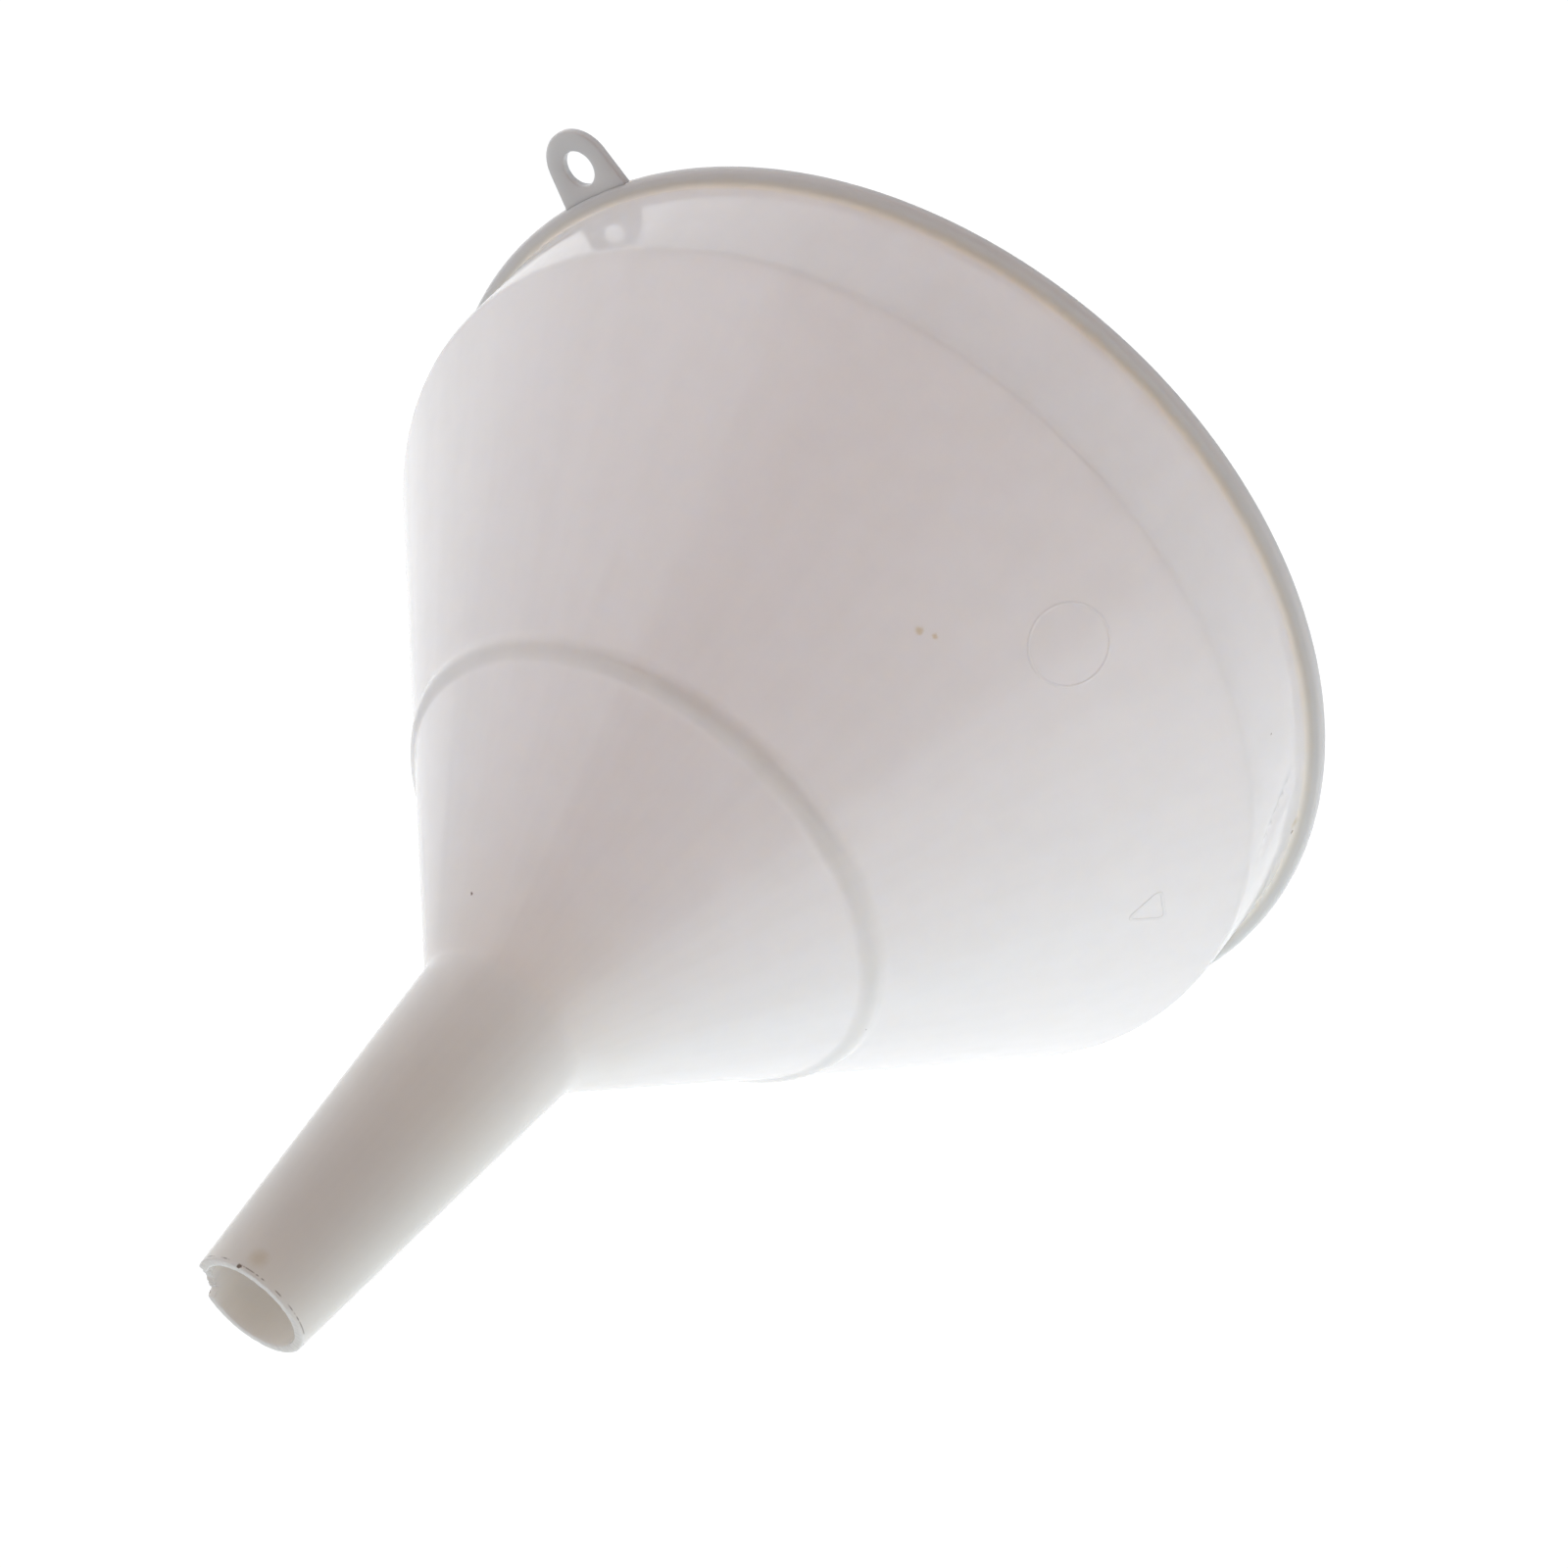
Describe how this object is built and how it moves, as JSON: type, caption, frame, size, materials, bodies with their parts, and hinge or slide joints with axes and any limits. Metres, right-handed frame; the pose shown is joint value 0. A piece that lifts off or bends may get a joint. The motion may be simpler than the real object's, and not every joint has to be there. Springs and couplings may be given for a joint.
{
  "type": "household funnel",
  "caption": "Wide-mouthed translucent plastic funnel with a rimmed collar, ringed cone, tapered spout and flat hanging tab.",
  "frame": {"origin": "centre of the mouth face, on the funnel's axis", "axes": "+Z along the axis from the mouth towards the spout's outlet, +X towards the hanging tab; it stands on its mouth with the spout up"},
  "size_m": [0.2133, 0.2, 0.1902],
  "materials": {
    "polypropylene": "natural translucent polypropylene, moulded, satin to gloss"
  },
  "bodies": {
    "root": {"rim_flange": "polypropylene", "hang_tab": "polypropylene", "collar_band": "polypropylene", "shoulder_ring": "polypropylene", "upper_cone": "polypropylene", "bead_ring": "polypropylene", "lower_cone": "polypropylene", "throat_ring": "polypropylene", "spout_tube": "polypropylene", "mark_roundel": "polypropylene", "mark_triangle": "polypropylene"}
  },
  "joints": []
}
